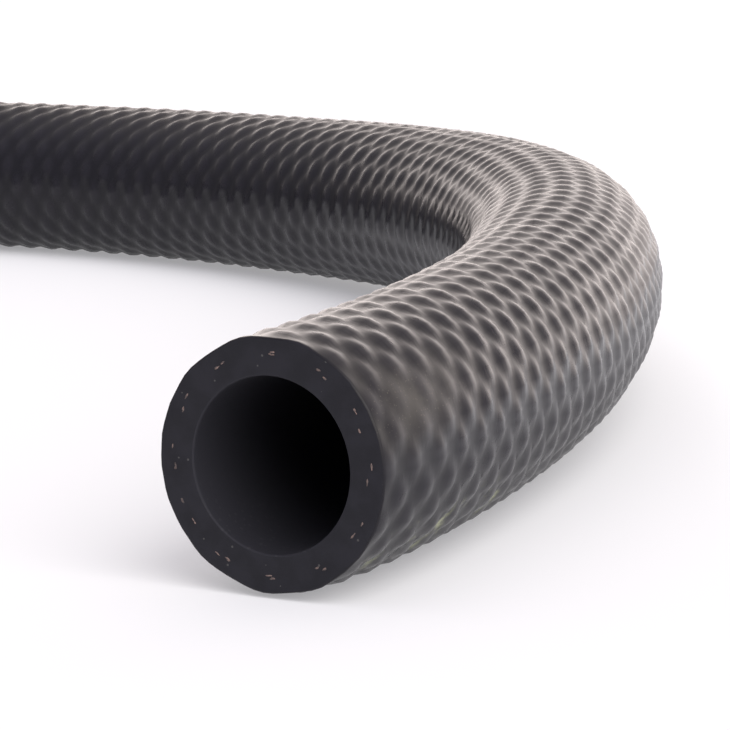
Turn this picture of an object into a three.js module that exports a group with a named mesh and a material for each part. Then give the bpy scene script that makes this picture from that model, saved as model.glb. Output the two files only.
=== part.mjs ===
// A one-metre length of rubber hose, cut square at both ends, lying on a level floor in one open, lazy loop.
// Millimetres, +Z up, the floor at Z = 0. The hose is a single vulcanised piece: a thick wall around an open bore.
import * as THREE from "three";

// The hose's section. The outside diameter is taken over the crests of its wrapped surface.
const BORE_DIAMETER = 19;
const WALL = 4.8;
const OUTSIDE_DIAMETER = BORE_DIAMETER + 2 * WALL;
const SIDES = 24;

// The way that the hose lies, from the end in front to the far end: X, Y and how far it is lifted off the floor.
// It leaves the front end square to -Y, bends left all the way round, and its last stretch runs straight along +X.
const ROUTE = [
  [189, -47, 0],
  [189, -35, 0],
  [186.5, -8.5, 0.2],
  [179.5, 29.5, 1],
  [167.5, 66, 2.5],
  [150, 100, 3],
  [126, 130, 2.5],
  [96.5, 154.5, 1.5],
  [62.5, 172, 0.5],
  [25.5, 182.5, 0.1],
  [-13, 184.5, 0],
  [-51, 179, 0],
  [-87, 165.5, 0],
  [-119.5, 145, 0],
  [-146.5, 118, 0],
  [-168, 86, 0],
  [-182, 50.5, 0],
  [-188.5, 12.5, 0],
  [-187, -26, 0],
  [-177.5, -63, 0],
  [-161, -97.5, 0],
  [-137, -128, 0],
  [-107.5, -152.5, 0],
  [-74, -170.5, 0],
  [-37, -181, 0],
  [1, -184.5, 0],
  [40, -184.5, 0],
  [78, -184.5, 0],
];
const STEPS_ALONG = 64;

const blackRubber = new THREE.MeshStandardMaterial({
  color: new THREE.Color(0x2a2a2c),
  roughness: 0.62,
  metalness: 0,
});

// The line through the middle of the bore. A hose on the floor has its middle half its outside diameter up.
function centreLine() {
  const points = ROUTE.map(
    ([x, y, lift]) => new THREE.Vector3(x, y, OUTSIDE_DIAMETER / 2 + lift),
  );
  return new THREE.CatmullRomCurve3(points, false, "centripetal");
}

// The ring-shaped section: the outside circle with the bore cut through it.
function section() {
  const ring = new THREE.Shape();
  ring.absarc(0, 0, OUTSIDE_DIAMETER / 2, 0, 2 * Math.PI);
  const bore = new THREE.Path();
  bore.absarc(0, 0, BORE_DIAMETER / 2, 0, 2 * Math.PI, true);
  ring.holes.push(bore);
  return ring;
}

function hose() {
  const geometry = new THREE.ExtrudeGeometry(section(), {
    extrudePath: centreLine(),
    steps: STEPS_ALONG,
    curveSegments: SIDES / 2,
    bevelEnabled: false,
  });
  const mesh = new THREE.Mesh(geometry, blackRubber);
  mesh.name = "hose";
  return mesh;
}

const rubberHose = new THREE.Group();
rubberHose.add(hose());

export default rubberHose;
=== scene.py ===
"""A metre of black rubber hose with a quilted cover, lying in one open loop on a pale floor.

The hose is one vulcanised piece: a thick wall round an open bore, cut square at both ends. Two layers of
reinforcing yarn cross in its wall, and the cover stands up in a small pillow wherever four crossings
leave room. Everything is in metres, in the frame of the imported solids: +Z up, the floor at Z = 0.
"""

from __future__ import annotations

import logging
import math
from dataclasses import dataclass, field
from enum import Enum

import bpy
import numpy as np
from mathutils import Matrix, Vector

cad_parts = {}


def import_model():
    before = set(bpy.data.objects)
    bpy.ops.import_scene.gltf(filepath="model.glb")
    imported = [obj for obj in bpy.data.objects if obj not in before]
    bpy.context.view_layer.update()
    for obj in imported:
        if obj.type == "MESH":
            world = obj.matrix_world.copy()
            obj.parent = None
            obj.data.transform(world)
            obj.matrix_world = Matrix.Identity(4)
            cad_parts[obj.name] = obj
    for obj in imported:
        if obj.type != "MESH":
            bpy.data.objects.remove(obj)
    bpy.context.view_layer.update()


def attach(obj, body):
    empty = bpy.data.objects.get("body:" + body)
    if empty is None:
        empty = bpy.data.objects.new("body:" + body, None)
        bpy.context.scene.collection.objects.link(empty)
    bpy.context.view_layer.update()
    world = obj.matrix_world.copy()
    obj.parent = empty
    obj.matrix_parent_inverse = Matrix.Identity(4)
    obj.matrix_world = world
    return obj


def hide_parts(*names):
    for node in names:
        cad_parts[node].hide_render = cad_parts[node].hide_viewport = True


LOG = logging.getLogger("hose")
MM = 0.001
SEED = 20

Colour = tuple[float, float, float, float]
Span = tuple[float, float]

# The way that the hose lies, from the front end to the far one: X, Y and how far it is lifted off the floor.
ROUTE = (
    (0.1890, -0.0470, 0.0),
    (0.1890, -0.0350, 0.0),
    (0.1865, -0.0085, 0.0002),
    (0.1795, 0.0295, 0.001),
    (0.1675, 0.0660, 0.0025),
    (0.1500, 0.1000, 0.003),
    (0.1260, 0.1300, 0.0025),
    (0.0965, 0.1545, 0.0015),
    (0.0625, 0.1720, 0.0005),
    (0.0255, 0.1825, 0.0001),
    (-0.0130, 0.1845, 0.0),
    (-0.0510, 0.1790, 0.0),
    (-0.0870, 0.1655, 0.0),
    (-0.1195, 0.1450, 0.0),
    (-0.1465, 0.1180, 0.0),
    (-0.1680, 0.0860, 0.0),
    (-0.1820, 0.0505, 0.0),
    (-0.1885, 0.0125, 0.0),
    (-0.1870, -0.0260, 0.0),
    (-0.1775, -0.0630, 0.0),
    (-0.1610, -0.0975, 0.0),
    (-0.1370, -0.1280, 0.0),
    (-0.1075, -0.1525, 0.0),
    (-0.0740, -0.1705, 0.0),
    (-0.0370, -0.1810, 0.0),
    (0.0010, -0.1845, 0.0),
    (0.0400, -0.1845, 0.0),
    (0.0780, -0.1845, 0.0),
)

OUTSIDE_DIAMETER = 28.6 * MM
BORE_DIAMETER = 19 * MM

# Yarns in each of the two layers, and the distance along the hose between two pillows in line.
YARNS = 12
PITCH = 5.12 * MM

# Points at which the centre line is sampled into a path.
CORD_POINTS = 500

# Width of the photo, in pixels.
PHOTO_WIDTH = 730


class Zone(Enum):
    """The surfaces of the hose, in the order of its material slots."""

    COVER = 0
    CUT = 1
    BORE = 2


class Mouth(Enum):
    """The two cut ends: the one in front, where the route starts, and the far one."""

    FRONT = 0
    FAR = 1


@dataclass
class CentreLine:
    """The line through the middle of the bore, smooth through the points of the route.

    Attributes:
        route: X, Y and lift of each point, in metres.
        height: how far the line is above the floor where nothing lifts it.
        fine: points worked out between two neighbours of the route.
        points: the fine points, one a row.
        distances: how far along the line each fine point is, in metres.
    """

    route: tuple[tuple[float, float, float], ...] = ROUTE
    height: float = OUTSIDE_DIAMETER / 2
    fine: int = 200
    points: np.ndarray = field(init=False)
    distances: np.ndarray = field(init=False)

    def __post_init__(self) -> None:
        """Works out the fine points and their distance along the line."""
        knots = np.array(self.route) + (0.0, 0.0, self.height)
        self.points = self._curve(knots)
        gaps = np.linalg.norm(np.diff(self.points, axis=0), axis=1)
        self.distances = np.concatenate([[0.0], np.cumsum(gaps)])

    def _curve(self, knots: np.ndarray) -> np.ndarray:
        """A centripetal Catmull-Rom spline: a cubic between two knots, whose end slopes come from the knots
        on both sides, each weighted by the square root of its distance. A knot mirrored past each end closes
        the list.

        Args:
            knots: the points of the route, one a row.

        Returns:
            The fine points of all stretches, one a row.
        """
        padded = np.vstack([2 * knots[0] - knots[1], knots, 2 * knots[-1] - knots[-2]])
        p0, p1, p2, p3 = (padded[i : len(padded) - 3 + i, None, :] for i in range(4))

        def spacing(a: np.ndarray, b: np.ndarray) -> np.ndarray:
            """The square root of the distance between two rows of points."""
            return np.sqrt(np.linalg.norm(b - a, axis=-1, keepdims=True))

        d0, d1, d2 = spacing(p0, p1), spacing(p1, p2), spacing(p2, p3)
        slope_1 = d1 * ((p1 - p0) / d0 - (p2 - p0) / (d0 + d1) + (p2 - p1) / d1)
        slope_2 = d1 * ((p2 - p1) / d1 - (p3 - p1) / (d1 + d2) + (p3 - p2) / d2)
        t = np.linspace(0.0, 1.0, self.fine, endpoint=False)[None, :, None]
        square, cube = t * t, t * t * t
        stretch = (
            p1
            + slope_1 * t
            + (3 * (p2 - p1) - 2 * slope_1 - slope_2) * square
            + (2 * (p1 - p2) + slope_1 + slope_2) * cube
        )
        return np.vstack([stretch.reshape(-1, 3), knots[-1]])

    @property
    def length(self) -> float:
        """The length of the line, in metres."""
        return float(self.distances[-1])

    def at(self, distance: np.ndarray) -> tuple[np.ndarray, np.ndarray, np.ndarray, np.ndarray]:
        """The line at the given distances.

        Args:
            distance: distances from the front end, in metres.

        Returns:
            The places, the directions of travel, and the two directions square to them: right and up.
        """
        place = np.stack([np.interp(distance, self.distances, self.points[:, k]) for k in range(3)], -1)
        slope = np.gradient(self.points, self.distances, axis=0)
        along = np.stack([np.interp(distance, self.distances, slope[:, k]) for k in range(3)], -1)
        along /= np.linalg.norm(along, axis=-1, keepdims=True)
        right = np.cross(along, (0.0, 0.0, 1.0))
        right /= np.linalg.norm(right, axis=-1, keepdims=True)
        return place, along, right, np.cross(right, along)


@dataclass(frozen=True)
class Wave:
    """A slow wave over the cover, which carries the pillows a little out of line.

    Attributes:
        reach: how far it carries them, in spacings of the yarns.
        run: distance along the hose in which it turns by one radian.
        turns: how many times it turns round the hose, below 0 where it winds the other way.
    """

    reach: float
    run: float
    turns: float

    def at(self, angle: np.ndarray, along: np.ndarray) -> np.ndarray:
        """The reach times the sine of the distance over the run plus the turns times the angle."""
        return self.reach * np.sin(along / self.run + self.turns * angle)


@dataclass(frozen=True)
class Patch:
    """A patch on the cover, which fades out as a bell both round the hose and along it.

    Attributes:
        turned: where its middle is, in degrees round the hose from its right side up.
        across: how wide the bell is round the hose, in degrees.
        behind: where its middle is, as a distance from the front end.
        reach: how long the bell is along the hose.
    """

    turned: float
    across: float
    behind: float
    reach: float

    def at(self, angle: np.ndarray, along: np.ndarray) -> np.ndarray:
        """From 0 off the patch to 1 at its middle: e to minus the sum of the two offsets, each squared."""
        turned = np.angle(np.exp(1j * (angle - math.radians(self.turned)))) / math.radians(self.across)
        return np.exp(-(turned**2) - ((along - self.behind) / self.reach) ** 2)


@dataclass
class QuiltedHose:
    """The hose: its quilted cover, its two cut faces and its bore, as one closed surface.

    Attributes:
        line: the line that it follows.
        crest: radius over the pillows.
        depth: how far the grooves lie below the pillows.
        bore: radius of the bore.
        yarns: yarns in each of the two layers.
        pitch: distance between two pillows in line along the hose.
        lean: how far the yarn crossings are out of square with the cut, at the side.
        settled: degrees that the lattice is turned by at the sides. On top it is 0, and below twice that.
        softness: how rounded the grooves' bottoms are, from 0 for sharp ones.
        waves: what carries the pillows out of line.
        middle: height of the lattice that the relief fades to.
        fade: share of the relief that is lost at a cut, and how far from the cut it comes back.
        drawn_in: how far the cover draws in at a cut, and how far from the cut that reaches.
        scuffed: the rubbed patch beside the front cut.
        worn: share of the relief that is lost in the middle of that patch.
        residue: where pale residue has caked in the grooves, low on the right behind the front cut.
        around: points round the hose.
        rounding: how far the rims of the cut faces are rounded.
        rim: each row's distance from the cut, in double roundings, and how far it is pulled in, in roundings.
        past_rim: distance from the cut of the first row behind a rim.
    """

    line: CentreLine
    crest: float = OUTSIDE_DIAMETER / 2
    depth: float = 0.55 * MM
    bore: float = BORE_DIAMETER / 2
    yarns: int = YARNS
    pitch: float = PITCH
    lean: float = 1.3 * MM
    settled: float = 4.0
    softness: float = 0.07
    waves: tuple[Wave, ...] = (Wave(0.05, 23 * MM, 2.0), Wave(0.04, 9.1 * MM, -3.0))
    middle: float = 0.45
    fade: Span = (0.6, 2.2 * MM)
    drawn_in: Span = (0.3 * MM, 16 * MM)
    scuffed: Patch = Patch(turned=30, across=17, behind=9 * MM, reach=12 * MM)
    worn: float = 0.7
    residue: Patch = Patch(turned=-44, across=15, behind=20 * MM, reach=24 * MM)
    around: int = 72
    rounding: float = 0.2 * MM
    rim: tuple[Span, ...] = ((0.0, 1.0), (0.12, 0.4), (0.45, 0.1))
    past_rim: float = 0.35 * MM

    def lattice(self, angle: np.ndarray, along: np.ndarray) -> np.ndarray:
        """Height of the cover from 0 in a groove to 1 on a pillow. Each layer's yarns pull the cover in along
        their spirals, where its count round the hose plus or minus the distance over the pitch is whole. The
        height is the product of the two layers' pulls, each the root of its sine squared plus the softness,
        less the softness.

        Args:
            angle: angles round the hose, from its right side up, in radians.
            along: distances from the front end, in metres.

        Returns:
            The heights, in the shape of the two arguments together.
        """
        wander = sum(wave.at(angle, along) for wave in self.waves)
        settled = np.radians(self.settled - self.settled * np.sin(angle))
        turns = self.yarns * (angle - settled) / (2 * math.pi)
        steps = (along + self.lean * np.cos(angle)) / self.pitch
        layers = (turns + steps + wander, turns - steps + wander)
        pulls = [np.sqrt(np.sin(math.pi * layer) ** 2 + self.softness) for layer in layers]
        return pulls[0] * pulls[1] - self.softness

    def cover_radius(self, angle: np.ndarray, along: np.ndarray) -> tuple[np.ndarray, np.ndarray]:
        """Radius of the cover: the crest less the groove's depth where the lattice is low. The pillows fade
        towards a cut end and on the scuffed patch, and the hose draws in a little at its cut ends.

        Args:
            angle: angles round the hose, in radians.
            along: distances from the front end, in metres.

        Returns:
            The radii, and the height of the lattice from 0 to 1.
        """
        height = self.lattice(angle, along)
        to_cut = np.minimum(along, self.line.length - along)
        lost, comes_back = self.fade
        strength = (1 - lost * np.exp(-to_cut / comes_back)) * (1 - self.worn * self.scuffed.at(angle, along))
        most, reach = self.drawn_in
        drawn_in = most * np.exp(-to_cut / reach)
        level = self.middle + (height - self.middle) * strength
        return self.crest - drawn_in - self.depth * (1 - level), height

    def cover_rows(self) -> np.ndarray:
        """Distances of the rows along the cover, closest together in the stretch that the photo shows best.

        Returns:
            The distances from the front end, in metres.
        """
        near, seen = 0.2, 0.36
        last = self.line.length - self.past_rim
        stretches = ((self.past_rim, near, 8), (near, seen, 6), (seen, last, 4))
        return np.concatenate([np.arange(start, stop, self.pitch / rows) for start, stop, rows in stretches])

    def bore_rows(self) -> np.ndarray:
        """Distances of the rows along the bore, from the far end to the front: close together in the mouths.

        Returns:
            The distances from the front end, in metres.
        """
        first, step, shallow = 1.2 * MM, 1.6 * MM, 60 * MM
        deep, stride = 70 * MM, 11 * MM
        mouth = np.concatenate([[self.past_rim], np.arange(first, shallow, step)])
        middle = np.arange(self.line.length - deep, shallow, -stride)
        return np.concatenate([self.line.length - mouth, middle, mouth[::-1]])

    def rows(self) -> dict[str, np.ndarray]:
        """The rows of points from the front rim along the cover, over the far face, back through the bore and
        over the front face. A row holds its distance along the hose, its share of the way from the bore to
        the cover, how far it is rounded in, and its zone.

        Returns:
            The rows' values by name.
        """
        end = self.line.length
        from_cut, pulled_in = np.array(self.rim).T * self.rounding
        from_cut = from_cut * 2
        widest, narrowest, rings = 0.95, 0.05, 9
        faces = np.linspace(widest, narrowest, rings)
        parts = [
            (from_cut, 1.0, -pulled_in, Zone.COVER),
            (self.cover_rows(), 1.0, 0.0, Zone.COVER),
            (end - from_cut[::-1], 1.0, -pulled_in[::-1], Zone.COVER),
            (end, faces, 0.0, Zone.CUT),
            (end - from_cut, 0.0, pulled_in, Zone.BORE),
            (self.bore_rows(), 0.0, 0.0, Zone.BORE),
            (from_cut[::-1], 0.0, pulled_in[::-1], Zone.BORE),
            (0.0, faces[::-1], 0.0, Zone.CUT),
        ]
        shaped = [np.broadcast_arrays(*(np.atleast_1d(v) for v in part[:3])) for part in parts]
        names = ("along", "share", "nudge")
        out = {name: np.concatenate([s[k] for s in shaped]).astype(float) for k, name in enumerate(names)}
        zones = [np.full(len(s[0]), part[3].value) for s, part in zip(shaped, parts)]
        out["zone"] = np.concatenate(zones)
        return out

    def surface(self, rows: dict[str, np.ndarray], angle: np.ndarray) -> tuple[np.ndarray, np.ndarray]:
        """The surface's points: at each row and angle, the line's place plus the radius times right and up
        turned by the angle.

        Args:
            rows: the rows' values by name.
            angle: angles round the hose, in radians.

        Returns:
            The points, and the height of the lattice at each.
        """
        place, _, right, up = self.line.at(rows["along"])
        outer, height = self.cover_radius(angle[None, :], rows["along"][:, None])
        share = rows["share"][:, None]
        radius = self.bore + (outer - self.bore) * share + rows["nudge"][:, None]
        out = np.cos(angle)[None, :, None] * right[:, None] + np.sin(angle)[None, :, None] * up[:, None]
        return place[:, None] + radius[..., None] * out, height

    def build(self, effects: Effects) -> bpy.types.Object:
        """The hose's surface, dressed. The rows close on themselves, so it is one ring with no open edge. Its
        UV map is the walk over the rows, in metres, and the share of the way round.

        Args:
            effects: the shared node groups.

        Returns:
            The mesh object.
        """
        rows = self.rows()
        angle = np.linspace(0, 2 * math.pi, self.around, endpoint=False) - math.pi / 2
        points, height = self.surface(rows, angle)
        count, around = points.shape[:2]
        i, j = np.meshgrid(np.arange(count), np.arange(around), indexing="ij")
        next_i, next_j = (i + 1) % count, (j + 1) % around
        corners = ((i, j), (next_i, j), (next_i, next_j), (i, next_j))
        quads = np.stack([row * around + turn for row, turn in corners], -1).reshape(-1, 4)
        mesh = mesh_from("quilted_hose", points.reshape(-1, 3), quads)
        smooth(mesh)
        zone = rows["zone"].astype(np.int32)
        face_zone = np.where(zone == np.roll(zone, -1), zone, Zone.CUT.value)
        mesh.polygons.foreach_set("material_index", np.repeat(face_zone, around))
        ring = np.vstack([points[:, 0], points[:1, 0]])
        walk = np.concatenate([[0.0], np.cumsum(np.linalg.norm(np.diff(ring, axis=0), axis=1))])
        u = np.stack([walk[i], walk[i + 1], walk[i + 1], walk[i]], -1)
        v = np.stack([j, j, j + 1, j + 1], -1) / around
        set_uv(mesh, np.stack([u, v], -1).reshape(-1, 2))
        self.set_attributes(mesh, rows, angle, height)
        made = link(mesh)
        self.dress(made, effects)
        return made

    def set_attributes(
        self, mesh: bpy.types.Mesh, rows: dict[str, np.ndarray], angle: np.ndarray, height: np.ndarray
    ) -> None:
        """Gives each point the numbers that the finishes read: how high it is on a pillow, how scuffed and
        how caked it is, how far it is from the nearer mouth, and how low it lies, from 0 on top to 1 below.

        Args:
            mesh: the hose's mesh.
            rows: the rows' values by name.
            angle: angles round the hose, in radians.
            height: height of the lattice at each point.
        """
        turned, along = angle[None, :], rows["along"][:, None]
        everywhere = np.ones_like(height)
        on_cover = (rows["share"][:, None] > 0.5) * everywhere
        set_values(mesh, "crest", height * on_cover)
        set_values(mesh, "scuff", self.scuffed.at(turned, along) * on_cover)
        set_values(mesh, "caked", self.residue.at(turned, along) * on_cover)
        set_values(mesh, "inside", np.minimum(along, self.line.length - along) * everywhere)
        set_values(mesh, "low", (0.5 - 0.5 * np.sin(turned)) * everywhere)

    def dress(self, hose: bpy.types.Object, effects: Effects) -> None:
        """Gives the hose its finishes, in the order of the zones, and puts it in the plain solid's place.

        Args:
            hose: the hose's mesh object.
            effects: the shared node groups.
        """
        for finish in (CoverFinish(), CutFinish(), BoreFinish()):
            hose.data.materials.append(finish.build(effects))
        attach(hose, "root")
        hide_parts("hose")


def mesh_from(name: str, points: np.ndarray, faces: np.ndarray | list[list[int]]) -> bpy.types.Mesh:
    """A mesh of the given points and faces.

    Args:
        name: the mesh's name.
        points: one point a row.
        faces: one face a row, as indices of points, anticlockwise seen from outside.

    Returns:
        The mesh.
    """
    mesh = bpy.data.meshes.new(name)
    mesh.from_pydata(points, [], faces)
    mesh.update()
    return mesh


def smooth(mesh: bpy.types.Mesh) -> None:
    """Shades all faces of the mesh smooth."""
    mesh.polygons.foreach_set("use_smooth", np.ones(len(mesh.polygons), bool))


def set_uv(mesh: bpy.types.Mesh, values: np.ndarray) -> None:
    """Gives the mesh its UV map, one pair for each corner."""
    layer = mesh.uv_layers.new(name="HoseUV")
    layer.uv.foreach_set("vector", np.ascontiguousarray(values, np.float32).ravel())


def set_values(mesh: bpy.types.Mesh, name: str, values: np.ndarray) -> None:
    """Gives each point of the mesh a number, under the given name."""
    layer = mesh.attributes.new(name, "FLOAT", "POINT")
    layer.data.foreach_set("value", np.ascontiguousarray(values, np.float32).ravel())


def link(mesh: bpy.types.Mesh) -> bpy.types.Object:
    """Puts the mesh into the scene as an object of its own name.

    Args:
        mesh: the mesh.

    Returns:
        The object.
    """
    made = bpy.data.objects.new(mesh.name, mesh)
    bpy.context.scene.collection.objects.link(made)
    return made


def ball(tall: int, around: int) -> tuple[np.ndarray, list[np.ndarray]]:
    """A ball of radius 1: at each angle from the top down and each angle round, the sine of the first times
    the cosine and the sine of the second, and the cosine of the first.

    Args:
        tall: steps from the top down.
        around: steps round it.

    Returns:
        Its points, one a row, and its faces as indices of points: the quads, the top cap and the lower one.
    """
    polar = np.linspace(0, math.pi, tall + 1)[:, None]
    turn = np.linspace(0, 2 * math.pi, around, endpoint=False)
    levels = [np.sin(polar) * np.cos(turn), np.sin(polar) * np.sin(turn), np.cos(polar) * np.ones(around)]
    middle = np.stack(levels, -1)[1:-1].reshape(-1, 3)
    points = np.vstack([[0.0, 0.0, 1.0], middle, [0.0, 0.0, -1.0]])
    rings = tall - 1
    i, j = (a.ravel() for a in np.meshgrid(np.arange(rings - 1), np.arange(around), indexing="ij"))
    next_j = (j + 1) % around
    corners = ((i, j), (i + 1, j), (i + 1, next_j), (i, next_j))
    quads = np.stack([1 + row * around + place for row, place in corners], -1)
    k = np.arange(around)
    next_k = (k + 1) % around
    last = 1 + rings * around
    top = np.stack([np.zeros_like(k), 1 + k, 1 + next_k], -1)
    bottom = np.stack([np.full_like(k, last), last - around + next_k, last - around + k], -1)
    return points, [quads, top, bottom]


@dataclass
class YarnEnds:
    """The ends of the reinforcing yarns in one cut face: two layers, a few strands in each yarn.

    Attributes:
        line: the line that the hose follows.
        mouth: the cut end.
        yarns: yarns in each layer.
        pitch: distance along the hose between two crossings of the same yarns.
        lean: how far the crossings are out of square with the cut, at the side. The cover has its own.
        radius: radius between the two layers.
        apart: how far each layer lies from that radius.
        uneven: how far a crossing strays along the hose.
        sway: how far a yarn strays round the hose, in radians.
        stray: how far a yarn strays in or out.
        strands: strands in each yarn.
        spread: how far a strand strays from its yarn round the hose, and in or out.
        wide: least and most half width of a strand's end, round the hose.
        thin: least and most half width of it, in and out.
        high: least and most height of it over the cut.
        tall: steps of its dome from the top down.
        around: steps round its dome.
    """

    line: CentreLine
    mouth: Mouth
    yarns: int = YARNS
    pitch: float = PITCH
    lean: float = 0.83 * MM
    radius: float = 11.95 * MM
    apart: float = 0.16 * MM
    uneven: float = 0.12 * MM
    sway: float = 0.012
    stray: float = 0.07 * MM
    strands: int = 4
    spread: Span = (0.13 * MM, 0.05 * MM)
    wide: Span = (0.14 * MM, 0.28 * MM)
    thin: Span = (0.05 * MM, 0.09 * MM)
    high: Span = (0.03 * MM, 0.09 * MM)
    tall: int = 6
    around: int = 10

    def scatter(self, rng: np.random.Generator) -> tuple[np.ndarray, np.ndarray]:
        """Where the strands come out of the face. A yarn's angle is its count round the hose, turned one way
        or the other by its crossing's distance over the pitch, and each yarn and strand strays a little.

        Args:
            rng: the source of the random draws.

        Returns:
            The strands' angles, in radians, and their radii.
        """
        count = 2 * self.yarns
        shape = (count, self.strands)
        layer = np.repeat([-1.0, 1.0], self.yarns)
        angle = np.tile(np.arange(self.yarns), 2) * 2 * math.pi / self.yarns
        step = self.lean * np.cos(angle) + self.uneven * rng.normal(size=count)
        angle = angle + layer * step / self.pitch * 2 * math.pi / self.yarns
        angle = angle + self.sway * rng.normal(size=count)
        radius = self.radius + layer * self.apart + self.stray * rng.normal(size=count)
        round_it, out = self.spread
        angle = angle[:, None] + rng.normal(size=shape) * round_it / self.radius
        radius = radius[:, None] + rng.normal(size=shape) * out
        return angle.ravel(), radius.ravel()

    def build(self, yarn: bpy.types.Material) -> bpy.types.Object:
        """Small domes, half sunk in the face: each is a ball flattened against the face and drawn out round
        the hose, because a yarn meets the cut at a slant.

        Args:
            yarn: the finish.

        Returns:
            The joined mesh object, dressed.
        """
        rng = np.random.default_rng(SEED + self.mouth.value)
        far = self.mouth is Mouth.FAR
        place, along, right, up = self.line.at(np.array([self.line.length if far else 0.0]))
        outward = along[0] if far else -along[0]
        angle, radius = self.scatter(rng)
        count = len(angle)
        wide, thin, high = (rng.uniform(*span, count) for span in (self.wide, self.thin, self.high))
        radial = np.cos(angle)[:, None] * right[0] + np.sin(angle)[:, None] * up[0]
        tangent = np.cross(outward, radial)
        centres = place[0] + radius[:, None] * radial
        points, parts = ball(self.tall, self.around)
        size = len(points)
        scaled = points[None] * np.stack([thin, wide, high], -1)[:, None]
        placed = (
            centres[:, None]
            + scaled[..., 0, None] * radial[:, None]
            + scaled[..., 1, None] * tangent[:, None]
            + scaled[..., 2, None] * outward
        )
        shift = np.arange(count)[:, None, None] * size
        faces = []
        for part in parts:
            faces += (part[None] + shift).reshape(-1, part.shape[1]).tolist()
        mesh = mesh_from(f"{self.mouth.name.lower()}_yarn_ends", placed.reshape(-1, 3), faces)
        smooth(mesh)
        set_values(mesh, "tone", np.repeat(rng.uniform(0.0, 1.0, count), size))
        made = link(mesh)
        self.dress(made, yarn)
        return made

    def dress(self, ends: bpy.types.Object, yarn: bpy.types.Material) -> None:
        """Gives the yarn ends their finish and their place in the part.

        Args:
            ends: their mesh object.
            yarn: the finish.
        """
        ends.data.materials.append(yarn)
        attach(ends, "root")


class Nodes:
    """Adds nodes to a node tree and joins them, so that a material reads as a list of steps."""

    def __init__(self, tree: bpy.types.NodeTree) -> None:
        """Keeps the tree that the nodes go into."""
        self.tree = tree

    def feed(self, node: bpy.types.Node, inputs: dict[str | int, object]) -> None:
        """Sets a node's inputs.

        Args:
            node: the node.
            inputs: values or sockets for its inputs, by name or number.
        """
        for key, value in inputs.items():
            if isinstance(value, bpy.types.NodeSocket):
                self.tree.links.new(value, node.inputs[key])
            else:
                node.inputs[key].default_value = value

    def add(
        self, kind: str, inputs: dict[str | int, object] | None = None, **settings: object
    ) -> bpy.types.Node:
        """A new node.

        Args:
            kind: the node's type name.
            inputs: values or sockets for its inputs, by name or number.
            settings: the node's own settings.

        Returns:
            The node.
        """
        node = self.tree.nodes.new(kind)
        for name, value in settings.items():
            setattr(node, name, value)
        self.feed(node, inputs or {})
        return node

    def value(self, operation: str, *terms: object, clamp: bool = False) -> bpy.types.NodeSocket:
        """The result of a maths step on numbers or sockets."""
        node = self.add("ShaderNodeMath", dict(enumerate(terms)), operation=operation, use_clamp=clamp)
        return node.outputs[0]

    def blend(self, share: object, low: object, high: object) -> bpy.types.NodeSocket:
        """A colour between two, by a share from 0 to 1."""
        node = self.add("ShaderNodeMix", {0: share, 6: low, 7: high}, data_type="RGBA")
        return node.outputs[2]

    def between(
        self, value: object, span: Span, start: object = 0.0, stop: object = 1.0
    ) -> bpy.types.NodeSocket:
        """A number carried smoothly from one span to another, which goes from start to stop."""
        inputs = {0: value, 1: span[0], 2: span[1], 3: start, 4: stop}
        return self.add("ShaderNodeMapRange", inputs, interpolation_type="SMOOTHSTEP").outputs[0]

    def towards(self, value: object, direction: Vector) -> bpy.types.NodeSocket:
        """How far a place or a direction goes along another direction: their dot product."""
        node = self.add("ShaderNodeVectorMath", {0: value, 1: direction}, operation="DOT_PRODUCT")
        return node.outputs["Value"]

    def attribute(self, name: str) -> bpy.types.NodeSocket:
        """The piece's own number of that name."""
        return self.add("ShaderNodeAttribute", attribute_name=name).outputs["Fac"]

    def place(self) -> bpy.types.NodeSocket:
        """The shaded point's place on its object."""
        return self.add("ShaderNodeTexCoord").outputs["Object"]

    def bump(self, height: object, strength: float, distance: float) -> bpy.types.NodeSocket:
        """The normals that a height gives the surface, at a strength from 0 to 1 and a distance in metres."""
        inputs = {"Strength": strength, "Distance": distance, "Height": height}
        return self.add("ShaderNodeBump", inputs).outputs[0]


def colour(red: float, green: float, blue: float) -> Colour:
    """A solid colour from its three linear parts."""
    return (red, green, blue, 1.0)


def pointing(around: float, above: float) -> Vector:
    """The direction that an angle anticlockwise from +X and an angle up from level give, both in degrees."""
    turn, rise = math.radians(around), math.radians(above)
    return Vector((math.cos(turn) * math.cos(rise), math.sin(turn) * math.cos(rise), math.sin(rise)))


def blank_material(name: str) -> tuple[bpy.types.Material, Nodes, bpy.types.Node]:
    """A new material.

    Args:
        name: its name.

    Returns:
        The material, its nodes and its shader.
    """
    material = bpy.data.materials.new(name)
    material.use_nodes = True
    return material, Nodes(material.node_tree), material.node_tree.nodes["Principled BSDF"]


def blank_group(name: str, numbers: dict[str, float]) -> bpy.types.NodeTree:
    """A new node group with the input Place and an input for each number.

    Args:
        name: its name.
        numbers: the numbers' names and what they are where a material doesn't say.

    Returns:
        The group, still without outputs.
    """
    tree = bpy.data.node_groups.new(name, "ShaderNodeTree")
    tree.interface.new_socket("Place", in_out="INPUT", socket_type="NodeSocketVector")
    for label, value in numbers.items():
        made = tree.interface.new_socket(label, in_out="INPUT", socket_type="NodeSocketFloat")
        made.default_value = value
    return tree


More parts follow.
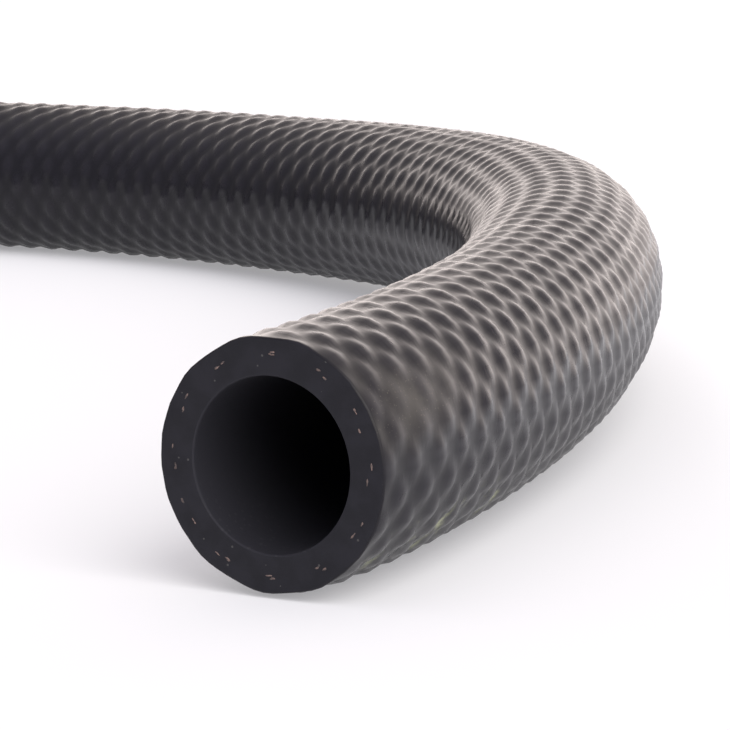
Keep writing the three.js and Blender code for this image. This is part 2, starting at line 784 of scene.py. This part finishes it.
def grain_group() -> bpy.types.NodeTree:
    """The grain of rubber: noise at two scales, as a height and as a mask that darkens or lightens.

    Returns:
        The node group, with the inputs Place, Scale and Coarse, and the outputs Height and Mask.
    """
    tree = blank_group("rubber_grain", {"Scale": 2500.0, "Coarse": 180.0})
    for name in ("Height", "Mask"):
        tree.interface.new_socket(name, in_out="OUTPUT", socket_type="NodeSocketFloat")
    coarse_share = 0.35
    mask_span = (0.35, 0.68)
    n = Nodes(tree)
    given = n.add("NodeGroupInput").outputs
    fine = n.add("ShaderNodeTexNoise", {"Vector": given["Place"], "Scale": given["Scale"], "Detail": 3.0})
    coarse = n.add("ShaderNodeTexNoise", {"Vector": given["Place"], "Scale": given["Coarse"], "Detail": 4.0})
    height = n.value("MULTIPLY_ADD", coarse.outputs["Fac"], coarse_share, fine.outputs["Fac"])
    mask = n.between(coarse.outputs["Fac"], mask_span)
    n.add("NodeGroupOutput", {"Height": height, "Mask": mask})
    return tree


def speck_group() -> bpy.types.NodeTree:
    """Scattered specks of dust: what lies near the points of noise cells, in the cells whose random number
    is low.

    Returns:
        The node group, with the inputs Place, Scale, Size and Amount, and the output Mask.
    """
    tree = blank_group("dust_specks", {"Scale": 1500.0, "Size": 0.25, "Amount": 0.3})
    tree.interface.new_socket("Mask", in_out="OUTPUT", socket_type="NodeSocketFloat")
    n = Nodes(tree)
    given = n.add("NodeGroupInput").outputs
    cells = n.add("ShaderNodeTexVoronoi", {"Vector": given["Place"], "Scale": given["Scale"]})
    near = n.value("LESS_THAN", cells.outputs["Distance"], given["Size"])
    chance = n.add("ShaderNodeSeparateColor", {0: cells.outputs["Color"]}).outputs[0]
    kept = n.value("LESS_THAN", chance, given["Amount"])
    n.add("NodeGroupOutput", {"Mask": n.value("MULTIPLY", near, kept)})
    return tree


@dataclass
class Effects:
    """The node groups that several finishes share.

    Attributes:
        grain: the grain of rubber.
        specks: the specks of dust.
    """

    grain: bpy.types.NodeTree = field(default_factory=grain_group)
    specks: bpy.types.NodeTree = field(default_factory=speck_group)


@dataclass(frozen=True)
class Grain:
    """The grain of one finish.

    Attributes:
        strength: strength of its bumps.
        distance: height of its bumps at full strength.
        fine: scale of the fine noise.
        coarse: scale of the coarse noise.
    """

    strength: float
    distance: float = 0.05 * MM
    fine: float = 2500.0
    coarse: float = 180.0

    def build(
        self, n: Nodes, effects: Effects, place: bpy.types.NodeSocket
    ) -> tuple[bpy.types.NodeSocket, bpy.types.NodeSocket]:
        """The grain, from the shared group.

        Args:
            n: the material's nodes.
            effects: the shared node groups.
            place: the shaded point's place.

        Returns:
            Its mask, and the normals that its bumps give the surface.
        """
        inputs = {"Place": place, "Scale": self.fine, "Coarse": self.coarse}
        group = n.add("ShaderNodeGroup", inputs, node_tree=effects.grain)
        return group.outputs["Mask"], n.bump(group.outputs["Height"], self.strength, self.distance)


@dataclass(frozen=True)
class Specks:
    """The specks of dust on one finish.

    Attributes:
        scale: scale of the cells that they lie in.
        size: how far a speck reaches from its cell's own point.
        amount: share of the cells that hold one.
    """

    scale: float
    size: float
    amount: float

    def build(self, n: Nodes, effects: Effects, place: bpy.types.NodeSocket) -> bpy.types.NodeSocket:
        """The specks' mask, from the shared group."""
        inputs = {"Place": place, "Scale": self.scale, "Size": self.size, "Amount": self.amount}
        return n.add("ShaderNodeGroup", inputs, node_tree=effects.specks).outputs["Mask"]


@dataclass(frozen=True)
class CoverFinish:
    """The cover: satin black rubber, smoother on its pillows, with painted shade that darkens its grooves,
    rubbed and dusty beside the cut.

    Attributes:
        groove: colour at the bottom of a groove, darkened as painted shade.
        pillow: colour on top of a pillow, the colour without that painted shade.
        pillow_span: heights between which one turns into the other.
        rubbed: colour of the scuffed patch.
        rubbed_most: most that it covers.
        specks: specks of dust on the scuffed patch.
        dust: their colour.
        dust_span: scuff over which they come in.
        dust_most: most that they cover.
        residue: colour of the pale residue.
        residue_scale: scale of the patches that it lies in.
        residue_detail: detail of those patches.
        residue_roughness: roughness of those patches' noise.
        residue_span: noise over which a patch comes in.
        residue_groove: heights over which it goes out.
        residue_near: nearness to its middle over which it comes in.
        residue_most: most that it covers.
        roughness: roughness on top of a pillow.
        groove_rougher: roughness that the bottom of a groove adds.
        grain_rougher: roughness that the grain adds.
        scuff_rougher: roughness that the scuff adds.
        specular: the shader's specular level.
        grain: the grain.
    """

    groove: Colour = colour(0.012, 0.0115, 0.0145)
    pillow: Colour = colour(0.018, 0.017, 0.0215)
    pillow_span: Span = (0.1, 0.9)
    rubbed: Colour = colour(0.085, 0.078, 0.068)
    rubbed_most: float = 0.65
    specks: Specks = Specks(scale=3400.0, size=0.26, amount=0.25)
    dust: Colour = colour(0.15, 0.13, 0.10)
    dust_span: Span = (0.15, 0.8)
    dust_most: float = 0.3
    residue: Colour = colour(0.33, 0.35, 0.2)
    residue_scale: float = 160.0
    residue_detail: float = 5.0
    residue_roughness: float = 0.7
    residue_span: Span = (0.54, 0.66)
    residue_groove: Span = (0.05, 0.55)
    residue_near: Span = (0.1, 0.7)
    residue_most: float = 0.8
    roughness: float = 0.24
    groove_rougher: float = 0.04
    grain_rougher: float = 0.07
    scuff_rougher: float = 0.16
    specular: float = 0.19
    grain: Grain = Grain(strength=0.12, distance=0.03 * MM, coarse=140.0)

    def build(self, effects: Effects) -> bpy.types.Material:
        """The finish as a material.

        Args:
            effects: the shared node groups.

        Returns:
            The material.
        """
        material, n, shader = blank_material("quilted_cover")
        place = n.place()
        mask, normal = self.grain.build(n, effects, place)
        crest = n.attribute("crest")
        scuff = n.attribute("scuff")
        # painted shade: the base colour darkens from the pillow's top to the groove's bottom
        base = n.blend(n.between(crest, self.pillow_span), self.groove, self.pillow)
        broken = n.value("MULTIPLY", scuff, mask, clamp=True)
        base = n.blend(n.value("MULTIPLY", broken, self.rubbed_most), base, self.rubbed)
        dusty = n.between(scuff, self.dust_span, 0.0, self.dust_most)
        base = n.blend(n.value("MULTIPLY", self.specks.build(n, effects, place), dusty), base, self.dust)
        base = n.blend(self.caked(n, place, crest), base, self.residue)
        rough = n.between(crest, (0.0, 1.0), self.roughness + self.groove_rougher, self.roughness)
        rough = n.value("MULTIPLY_ADD", mask, self.grain_rougher, rough)
        rough = n.value("MULTIPLY_ADD", scuff, self.scuff_rougher, rough)
        n.feed(shader, {"Base Color": base, "Normal": normal})
        n.feed(shader, {"Roughness": rough, "Specular IOR Level": self.specular})
        return material

    def caked(
        self, n: Nodes, place: bpy.types.NodeSocket, crest: bpy.types.NodeSocket
    ) -> bpy.types.NodeSocket:
        """How far the residue covers the rubber: in patches, in the grooves, near the middle of its stretch.

        Args:
            n: the material's nodes.
            place: the shaded point's place.
            crest: its height, from 0 in a groove to 1 on a pillow.

        Returns:
            The share that it covers.
        """
        inputs = {
            "Vector": place,
            "Scale": self.residue_scale,
            "Detail": self.residue_detail,
            "Roughness": self.residue_roughness,
        }
        noise = n.add("ShaderNodeTexNoise", inputs).outputs["Fac"]
        in_groove = n.between(crest, self.residue_groove, 1.0, 0.0)
        share = n.value("MULTIPLY", n.between(noise, self.residue_span), in_groove)
        near = n.between(n.attribute("caked"), self.residue_near, 0.0, self.residue_most)
        return n.value("MULTIPLY", share, near)


@dataclass(frozen=True)
class CutFinish:
    """The cut faces: dead matt charcoal rubber with a fine grain and stray specks.

    Attributes:
        base: colour of the rubber.
        paler: how many times paler it is where the grain's mask is full.
        specks: stray specks of dust.
        dust: their colour.
        dust_most: most that they cover.
        roughness: the shader's roughness.
        specular: the shader's specular level.
        grain: the grain.
    """

    base: Colour = colour(0.0120, 0.0117, 0.0155)
    paler: float = 1.35
    specks: Specks = Specks(scale=1700.0, size=0.22, amount=0.035)
    dust: Colour = colour(0.12, 0.115, 0.11)
    dust_most: float = 0.5
    roughness: float = 0.78
    specular: float = 0.28
    grain: Grain = Grain(strength=0.5, fine=2200.0, coarse=420.0)

    def build(self, effects: Effects) -> bpy.types.Material:
        """The finish as a material.

        Args:
            effects: the shared node groups.

        Returns:
            The material.
        """
        material, n, shader = blank_material("knife_cut_rubber")
        place = n.place()
        mask, normal = self.grain.build(n, effects, place)
        dusty = n.value("MULTIPLY", self.specks.build(n, effects, place), self.dust_most)
        paler = colour(*(self.paler * part for part in self.base[:3]))
        base = n.blend(dusty, n.blend(mask, self.base, paler), self.dust)
        n.feed(shader, {"Base Color": base, "Normal": normal})
        n.feed(shader, {"Roughness": self.roughness, "Specular IOR Level": self.specular})
        return material


@dataclass(frozen=True)
class BoreFinish:
    """The bore: near-black rubber, with a trace of powder where it lies lowest, near the mouths.

    Attributes:
        base: colour of the rubber.
        powder: colour of the powder.
        specks: the specks that it lies in.
        low_span: how low it comes in, where 0 is the bore's top and 1 its lowest line.
        low_least: share of it that lies higher up.
        mouth_span: distance from the mouth over which it goes out.
        powder_most: most that it covers.
        roughness: the shader's roughness.
        specular: the shader's specular level.
        grain: the grain.
    """

    base: Colour = colour(0.022, 0.0215, 0.027)
    powder: Colour = colour(0.036, 0.035, 0.040)
    specks: Specks = Specks(scale=1500.0, size=0.3, amount=0.4)
    low_span: Span = (0.55, 1.0)
    low_least: float = 0.1
    mouth_span: Span = (2 * MM, 16 * MM)
    powder_most: float = 0.6
    roughness: float = 0.7
    specular: float = 0.2
    grain: Grain = Grain(strength=0.4)

    def build(self, effects: Effects) -> bpy.types.Material:
        """The finish as a material.

        Args:
            effects: the shared node groups.

        Returns:
            The material.
        """
        material, n, shader = blank_material("bore_rubber")
        place = n.place()
        _, normal = self.grain.build(n, effects, place)
        low = n.between(n.attribute("low"), self.low_span, self.low_least, 1.0)
        near = n.between(n.attribute("inside"), self.mouth_span, 1.0, 0.0)
        most = n.value("MULTIPLY", n.value("MULTIPLY", low, near), self.powder_most)
        dusty = n.value("MULTIPLY", self.specks.build(n, effects, place), most)
        n.feed(shader, {"Base Color": n.blend(dusty, self.base, self.powder), "Normal": normal})
        n.feed(shader, {"Roughness": self.roughness, "Specular IOR Level": self.specular})
        return material


@dataclass(frozen=True)
class YarnFinish:
    """The yarn ends: dull pinkish beige fibre, some strands darkened by rubber.

    Attributes:
        pale: colour of a clean strand.
        dark: colour of a strand full of rubber.
        scale: scale of the fibres' noise.
        detail: detail of that noise.
        span: noise over which a fibre goes from dark to light.
        least: share of its paleness that a dark fibre keeps.
        roughness: the shader's roughness.
        strength: strength of the fibres' bumps.
        distance: height of the fibres' bumps at full strength.
    """

    pale: Colour = colour(0.24, 0.165, 0.14)
    dark: Colour = colour(0.075, 0.06, 0.058)
    scale: float = 9000.0
    detail: float = 2.0
    span: Span = (0.3, 0.7)
    least: float = 0.55
    roughness: float = 0.85
    strength: float = 0.5
    distance: float = 0.02 * MM

    def build(self) -> bpy.types.Material:
        """The finish as a material.

        Returns:
            The material.
        """
        material, n, shader = blank_material("yarn_fibre")
        inputs = {"Vector": n.place(), "Scale": self.scale, "Detail": self.detail}
        fibre = n.add("ShaderNodeTexNoise", inputs).outputs["Fac"]
        share = n.value("MULTIPLY", n.attribute("tone"), n.between(fibre, self.span, self.least, 1.0))
        normal = n.bump(fibre, self.strength, self.distance)
        n.feed(shader, {"Base Color": n.blend(share, self.dark, self.pale), "Normal": normal})
        n.feed(shader, {"Roughness": self.roughness})
        return material


@dataclass(frozen=True)
class Camera:
    """The camera, which looks along its heading, dipped by the pitch and turned by the roll.

    Attributes:
        eye: its place.
        heading: compass direction that it looks in, anticlockwise from +X, in degrees.
        pitch: how far it looks down, in degrees.
        roll: how far it is tipped to the right side, in degrees.
        focal: focal length in image widths.
        centre: where its axis meets the image, in image widths from the left and the top.
        sensor: width of its sensor, in millimetres.
        clip: least and most distance that it sees.
    """

    eye: tuple[float, float, float] = (0.35887, -0.32771, 0.07905)
    heading: float = 119.9
    pitch: float = 9.25
    roll: float = -0.77
    focal: float = 3200 / PHOTO_WIDTH
    centre: Span = (339 / PHOTO_WIDTH, 358 / PHOTO_WIDTH)
    sensor: float = 36.0
    clip: Span = (0.01, 50.0)

    def build(self) -> bpy.types.Object:
        """The camera.

        Returns:
            The camera, which is the scene's own.
        """
        ahead = pointing(self.heading, -self.pitch)
        roll = math.radians(self.roll)
        level = ahead.cross(Vector((0, 0, 1))).normalized()
        above = level.cross(ahead)
        right = math.cos(roll) * level + math.sin(roll) * above
        up = -math.sin(roll) * level + math.cos(roll) * above
        lens = bpy.data.cameras.new("camera")
        lens.sensor_width = self.sensor
        lens.sensor_fit = "HORIZONTAL"
        lens.lens = self.focal * lens.sensor_width
        lens.shift_x = 0.5 - self.centre[0]
        lens.shift_y = self.centre[1] - 0.5
        lens.clip_start, lens.clip_end = self.clip
        made = bpy.data.objects.new("camera", lens)
        turned = Matrix((right, up, -ahead)).transposed().to_4x4()
        made.matrix_world = Matrix.Translation(self.eye) @ turned
        bpy.context.scene.collection.objects.link(made)
        bpy.context.scene.camera = made
        return made


@dataclass(frozen=True)
class Floor:
    """A wide, matt, pale floor. It gives off light of its own, a painted glow that fills the shade around the
    hose, and more so past the hose's right, where the hose's lower side reflects it.

    Attributes:
        reach: how far it goes from the middle, in metres.
        base: its colour.
        glow: colour of its painted glow.
        glow_span: metres to the right of the middle over which the glow rises.
        glow_least: its strength to the left of that, where 1 is full.
    """

    reach: float = 12.0
    base: Colour = colour(0.60, 0.60, 0.60)
    glow: Colour = colour(0.98, 0.97, 1.0)
    glow_span: Span = (0.19, 0.27)
    glow_least: float = 0.33

    def build(self, heading: float) -> bpy.types.Object:
        """The floor, as one square.

        Args:
            heading: the camera's heading, in degrees.

        Returns:
            The mesh object.
        """
        sides = ((-1, -1, 0), (1, -1, 0), (1, 1, 0), (-1, 1, 0))
        made = link(mesh_from("floor", np.array(sides) * self.reach, np.array([[0, 1, 2, 3]])))
        material, n, shader = blank_material("pale_floor")
        beside = n.towards(n.place(), pointing(heading - 90.0, 0.0))
        glow = n.between(beside, self.glow_span, self.glow_least, 1.0)
        n.feed(shader, {"Base Color": self.base, "Roughness": 1.0, "Specular IOR Level": 0.0})
        # painted light: the floor glows though it is no lamp, brightest past the hose's right
        n.feed(shader, {"Emission Color": self.glow, "Emission Strength": glow})
        made.data.materials.append(material)
        return made


@dataclass(frozen=True)
class Sky:
    """Light from all round: a dim room, soft light overhead and a bright backdrop low behind the hose.

    The rise of a direction is its Z, from 0 level to 1 straight up. Its nearness to the backdrop is the
    cosine of the angle between the two.

    Attributes:
        room: strength of the light all round.
        overhead: strength that is added overhead.
        overhead_span: rise over which that comes in.
        backdrop: strength that the backdrop adds.
        backdrop_turned: how far it stands to the right of the camera's heading, in degrees.
        backdrop_span: nearness over which it comes in.
        backdrop_rise: rise over which it fades.
        backdrop_top: share of it that is left above.
        tint_span: nearness over which the front tint turns into the back tint.
        front_tint: colour of the light from the camera's side.
        back_tint: colour of the light from behind the hose.
    """

    room: float = 0.41
    overhead: float = 0.35
    overhead_span: Span = (0.5, 0.9)
    backdrop: float = 2.7
    backdrop_turned: float = 12.0
    backdrop_span: Span = (0.48, 0.93)
    backdrop_rise: Span = (0.15, 0.65)
    backdrop_top: float = 0.15
    tint_span: Span = (-0.6, 0.8)
    front_tint: Colour = colour(0.96, 0.94, 1.12)
    back_tint: Colour = colour(1.0, 0.90, 0.86)

    def build(self, heading: float) -> None:
        """The sky, as the scene's world.

        Args:
            heading: the camera's heading, in degrees.
        """
        world = bpy.data.worlds.new("studio")
        bpy.context.scene.world = world
        world.use_nodes = True
        n = Nodes(world.node_tree)
        direction = n.add("ShaderNodeTexCoord").outputs["Generated"]
        near = n.towards(direction, pointing(heading - self.backdrop_turned, 0.0))
        rise = n.add("ShaderNodeSeparateXYZ", {0: direction}).outputs["Z"]
        overhead = n.between(rise, self.overhead_span, 0.0, self.overhead)
        low = n.between(rise, self.backdrop_rise, 1.0, self.backdrop_top)
        backdrop = n.value("MULTIPLY", n.between(near, self.backdrop_span, 0.0, self.backdrop), low)
        strength = n.value("ADD", n.value("ADD", overhead, backdrop), self.room)
        tint = n.blend(n.between(near, self.tint_span), self.front_tint, self.back_tint)
        n.feed(world.node_tree.nodes["Background"], {"Color": tint, "Strength": strength})


@dataclass(frozen=True)
class Lamp:
    """A far, wide lamp.

    Attributes:
        name: its name.
        turned: where it stands, in degrees anticlockwise from the camera's heading.
        steep: how high it stands, in degrees above the floor.
        strength: its light on a surface square to it.
        wide: how wide it looks, in degrees.
        tint: its colour.
    """

    name: str
    turned: float
    steep: float
    strength: float
    wide: float
    tint: tuple[float, float, float]

    def build(self, heading: float) -> None:
        """The lamp.

        Args:
            heading: the camera's heading, in degrees.
        """
        lamp = bpy.data.lights.new(self.name, "SUN")
        lamp.energy = self.strength
        lamp.angle = math.radians(self.wide)
        lamp.color = self.tint
        made = bpy.data.objects.new(self.name, lamp)
        source = pointing(heading + self.turned, self.steep)
        made.rotation_euler = source.to_track_quat("Z", "Y").to_euler()
        bpy.context.scene.collection.objects.link(made)


@dataclass(frozen=True)
class Studio:
    """The pale floor, the soft light and the camera of a product photograph.

    Attributes:
        camera: the camera.
        floor: the floor.
        sky: the light from all round.
        lamps: the lamps.
    """

    camera: Camera = Camera()
    floor: Floor = Floor()
    sky: Sky = Sky()
    lamps: tuple[Lamp, ...] = (
        Lamp("key", turned=-150.0, steep=38.0, strength=2.7, wide=55.0, tint=(1.0, 0.98, 0.96)),
        Lamp("rim", turned=50.0, steep=40.0, strength=0.1, wide=50.0, tint=(0.94, 0.95, 1.0)),
    )

    def build(self) -> None:
        """The whole studio, with the camera's heading as what everything else is turned from."""
        heading = self.camera.heading
        self.camera.build()
        self.floor.build(heading)
        self.sky.build(heading)
        for lamp in self.lamps:
            lamp.build(heading)
        bpy.context.scene.view_settings.view_transform = "Standard"


def main() -> None:
    """Builds the studio, the hose and its yarn ends, and samples a path along the centre line."""
    logging.basicConfig(level=logging.INFO, format="%(name)s: %(message)s")
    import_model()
    Studio().build()
    line = CentreLine()
    LOG.info("centre line %.1f mm long", line.length / MM)
    hose = QuiltedHose(line).build(Effects())
    yarn = YarnFinish().build()
    tufts = [YarnEnds(line, mouth).build(yarn) for mouth in Mouth]
    path = line.at(np.linspace(0.0, line.length, CORD_POINTS))[0]
    for piece in (hose, *tufts):
        LOG.info("%s: %d faces", piece.name, len(piece.data.polygons))


if __name__ == "__main__":
    main()
